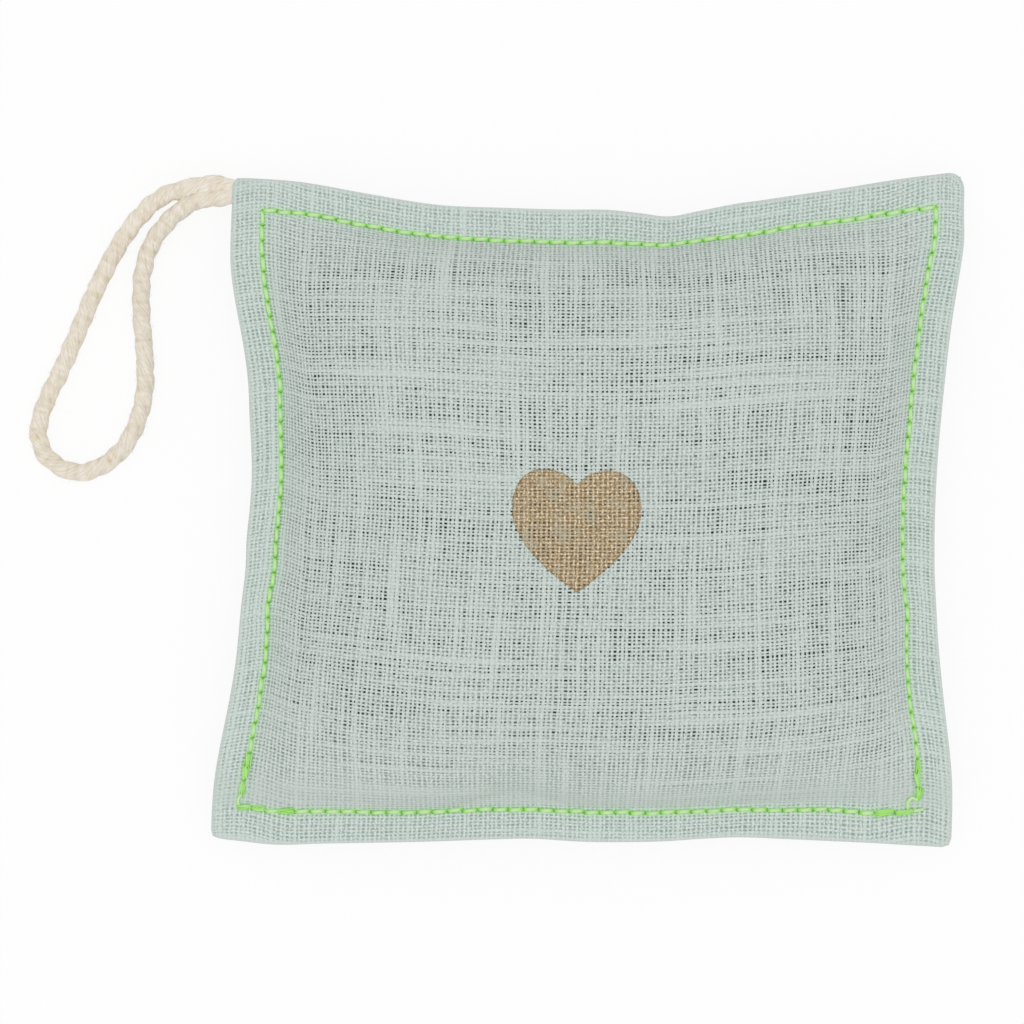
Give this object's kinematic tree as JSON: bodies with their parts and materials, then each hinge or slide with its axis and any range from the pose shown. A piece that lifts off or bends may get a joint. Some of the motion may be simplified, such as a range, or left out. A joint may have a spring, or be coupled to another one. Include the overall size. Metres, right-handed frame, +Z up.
{
  "type": "scented sachet",
  "caption": "Flat linen sachet filled with dried lavender, with a stitched border, a gilt heart printed on the front and a twisted cord loop at one corner for hanging.",
  "frame": {"origin": "on the table under the middle of the bag, which lies on its back", "axes": "+Z up out of the printed front, +X to the right across the bag, +Y towards the edge that has the loop at its left end"},
  "size_m": [0.1531, 0.1097, 0.023],
  "materials": {
    "linen": "matte",
    "lavender": "matte",
    "green_thread": "satin",
    "pale_thread": "satin",
    "cotton_cord": "matte",
    "gilt_print": "satin"
  },
  "bodies": {
    "bag": {"front_panel": "linen", "back_panel": "linen", "lavender_fill": "lavender", "border_needle_thread": "green_thread", "border_bobbin_thread": "green_thread", "closing_needle_thread": "green_thread", "closing_bobbin_thread": "green_thread", "edge_seam_thread": "pale_thread", "cord_ends": "cotton_cord", "heart_print": "gilt_print"},
    "loop": {"hanging_loop": "cotton_cord"}
  },
  "joints": [
    {"name": "loop_lift", "type": "hinge", "parent": "bag", "child": "loop", "pos_m": [-0.06183, 0.05167, 0.00571], "axis": [0, 1, 0], "range_deg": [0, 120]}
  ]
}
